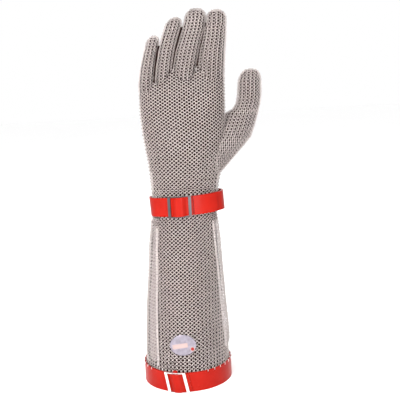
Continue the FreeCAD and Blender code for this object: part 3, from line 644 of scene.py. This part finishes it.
grooves = [groove(*g) for g in GROOVES]
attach(shade_piece("hand_inner_shade", [hand_shade.take(~shade_near & ~shade_top)]), "hand")
for k, name in enumerate(KNUCKLE_Z):
    tube = shade_grid(TUBES[name], KNUCKLE_Z[name] + 1.3, TIP_Z[name] - 2.0,
                      FINGER_DEPTH + SHADE_DEPTH, steps=40, rise=1.5)
    tube = tube.take(tube.pos[:, 2] > hand_top(tube.pos[:, 0]) - 1.2)
    fill = [g[name].corners for g in grooves if name in g]
    tube = Quads(np.concatenate([tube.corners] + fill))
    below = tube.pos[:, 2] < finger_split(name)
    base = [hand_shade.take(shade_top & (shade_lane == k)), tube.take(below)]
    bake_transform(shade_piece(name + "_base_inner_shade", base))
    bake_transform(shade_piece(name + "_tip_inner_shade", [tube.take(~below)]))

tube = shade_grid(TUBES["thumb"], 207.0, TIP_Z["thumb"] - 2.0, FINGER_DEPTH + SHADE_DEPTH,
                  steps=60, rise=1.5)
tube = tube.take(~inside(ARM, tube.pos, 2.6))
below = tube.pos[:, 2] < THUMB_SPLIT_Z
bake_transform(shade_piece("thumb_base_inner_shade", [hand_shade.take(shade_near), tube.take(below)]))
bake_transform(shade_piece("thumb_tip_inner_shade", [tube.take(~below)]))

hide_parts("cuff_mail_back_of_hand_side")
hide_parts("cuff_mail_palm_side")
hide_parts("back_of_hand_mail")
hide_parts("palm_mail")
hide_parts("thumb_base_mail")
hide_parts("thumb_tip_mail")
for name in KNUCKLE_Z:
    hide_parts(name + "_finger_base_mail")
    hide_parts(name + "_finger_tip_mail")


# ---- stays' pockets and the bright seams beside them ------------------------------------
POCKET_DEPTH = 5.5         # under the CAD's outer face, behind the stays
SEAM_RADIUS, SEAM_WIRE, SEAM_GAP = 1.0, 0.40, 1.62
for side, (low, high) in STAY_SPAN.items():
    turn, which = (1, 1) if side == "right" else (-1, 0)
    rows = []
    for i, z in enumerate(np.arange(low - 1, high + 2, 1.8)):
        start = edge_angles(z)[which]
        _, _, a, b, _ = at(ARM, z)
        radius = (a + b) / 2 - POCKET_DEPTH
        k = np.arange(-0.5 + 0.5 * (i % 2), (STAY_WIDTH + 3) / CUFF_PITCH, 1.0)
        rows.append((z, start + turn * k * CUFF_PITCH / radius, 1 if i % 2 else -1))
    pocket = put(side + "_pocket_rings", weave(ARM, rows, POCKET_DEPTH), steps=10)
    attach(pocket, "cuff")
    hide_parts(side + "_stay_pocket_mail")
    heights = np.arange(low, high, SEAM_GAP)
    rows = [(z, np.array([edge_angles(z)[which]]), 1) for z in heights]
    beads = weave(ARM, rows, -0.5)
    beads.ey, beads.en = -beads.en, beads.ey
    beads.lean = np.full(len(beads.pos), 14.0)
    seam = mesh_of_rings(side + "_seam_beads", beads, seam_steel, radius=SEAM_RADIUS,
                         wire=SEAM_WIRE, jitter=1.2)
    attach(seam, "cuff")
    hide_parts(side + "_stay_seam_rings")


# ---- badge's blank panel ----------------------------------------------------------------
def vector_list(items, key):
    """Three numbers of every vertex or polygon, as rows."""
    values = np.empty(len(items) * 3)
    items.foreach_get(key, values)
    return values.reshape(-1, 3)


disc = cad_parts["size_badge"].data
areas = np.empty(len(disc.polygons))
disc.polygons.foreach_get("area", areas)
normals = vector_list(disc.polygons, "normal")
faces_front = normals[:, 1] < 0
out = normals[faces_front][np.argmax(areas[faces_front])]
corners = vector_list(disc.vertices, "co")
face_level = (corners @ out).max()
centre = corners.mean(0)
centre = centre + out * (face_level - centre @ out)
right = -np.cross(out, (0, 0, 1))
right = right / np.linalg.norm(right)
upward = np.cross(out, right)
if upward[2] < 0:
    upward, right = -upward, -right


def badge_plate(name, x0, x1, y0, y1, lift, turn, mat):
    """A thin plate on the badge's face, between two corners given in millimetres."""
    pts = []
    cosine, sine = math.cos(math.radians(turn)), math.sin(math.radians(turn))
    for level in (0.0, lift * MM):
        for x, y in ((x0, y0), (x1, y0), (x1, y1), (x0, y1)):
            sideways, rise = x * cosine - y * sine, x * sine + y * cosine
            pts.append(centre + right * sideways * MM + upward * rise * MM + out * level)
    mesh = bpy.data.meshes.new(name)
    mesh.from_pydata([tuple(p) for p in pts], [],
                     [(0, 1, 2, 3), (4, 5, 6, 7), (0, 1, 5, 4), (1, 2, 6, 5), (2, 3, 7, 6),
                      (3, 0, 4, 7)])
    mesh.materials.append(mat)
    obj = bpy.data.objects.new(name, mesh)
    bpy.context.scene.collection.objects.link(obj)
    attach(obj, "cuff")
    return obj


PRINT_LIFT = 0.12          # thickness of what is printed on the badge
LABEL = (-10.4, 4.6, -2.6, 1.8)    # left, right, lower and upper edge of the blank panel
LABEL_TURN = 7.0           # degrees
badge_plate("badge_label_panel", *LABEL, PRINT_LIFT, LABEL_TURN, badge_panel)

# pale border round the size dot
BORDER_RADIUS, BORDER_STEPS = 2.3, 32
dot = vector_list(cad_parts["badge_size_dot"].data.vertices, "co").mean(0)
dot = dot + out * (face_level - dot @ out + PRINT_LIFT * MM)
spin = [2 * math.pi * k / BORDER_STEPS for k in range(BORDER_STEPS)]
mesh = bpy.data.meshes.new("badge_dot_border")
mesh.from_pydata([tuple(dot + BORDER_RADIUS * MM * (right * math.cos(v) + upward * math.sin(v)))
                  for v in spin], [], [tuple(range(BORDER_STEPS))])
mesh.materials.append(badge_panel)
border = bpy.data.objects.new("badge_dot_border", mesh)
bpy.context.scene.collection.objects.link(border)
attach(border, "cuff")

# ---- floor, light and camera ------------------------------------------------------------
world = bpy.data.worlds.new("studio")
bpy.context.scene.world = world
world.use_nodes = True
world.node_tree.nodes["Background"].inputs["Color"].default_value = (1.0, 1.0, 1.0, 1)
world.node_tree.nodes["Background"].inputs["Strength"].default_value = 1.0
bpy.context.scene.view_settings.view_transform = "Standard"

floor_mat = material("floor_paper", (0.99, 0.99, 0.99), 0.0, 0.8, 3, 0.004, 0.03, specular=0.1)
bpy.ops.mesh.primitive_plane_add(size=14.0, location=(0, 0, 0))
floor = bpy.context.object
floor.name = "floor"
floor.data.materials.append(floor_mat)

AIM = (0.02, 0, 0.2)       # the middle of the glove


def area_light(name, place, size, power, colour=(1, 1, 1)):
    """A square lamp that points at the glove."""
    data = bpy.data.lights.new(name, "AREA")
    data.shape, data.size, data.energy, data.color = "SQUARE", size, power, colour
    obj = bpy.data.objects.new(name, data)
    obj.location = place
    direction = np.array(AIM) - np.array(place)
    obj.rotation_euler = Vector(direction).to_track_quat("-Z", "Y").to_euler()
    bpy.context.scene.collection.objects.link(obj)
    return obj


area_light("key", (-0.45, -0.95, 0.75), 0.35, 26, (1.0, 0.98, 0.97))
area_light("fill", (0.38, -1.1, 0.26), 0.42, 9, (1.0, 0.97, 0.96))
area_light("rim", (0.3, 1.1, 0.7), 0.6, 5.5)

camera_data = bpy.data.cameras.new("camera")
camera_data.sensor_width = 36.0
camera_data.lens = 64.8
camera = bpy.data.objects.new("camera", camera_data)
bpy.context.scene.collection.objects.link(camera)
tilt, roll = math.radians(9.0), math.radians(3.0)    # it looks down a little and leans sideways
look = Vector((0, math.cos(tilt), -math.sin(tilt)))
level_right = Vector((1, 0, 0))
level_up = level_right.cross(look)
cam_right = level_right * math.cos(roll) - level_up * math.sin(roll)
cam_up = level_right * math.sin(roll) + level_up * math.cos(roll)
turn = Matrix((cam_right, cam_up, -look)).transposed().to_4x4()
camera.matrix_world = Matrix.Translation(Vector((0.0216, -0.7111, 0.2956))) @ turn
bpy.context.scene.camera = camera
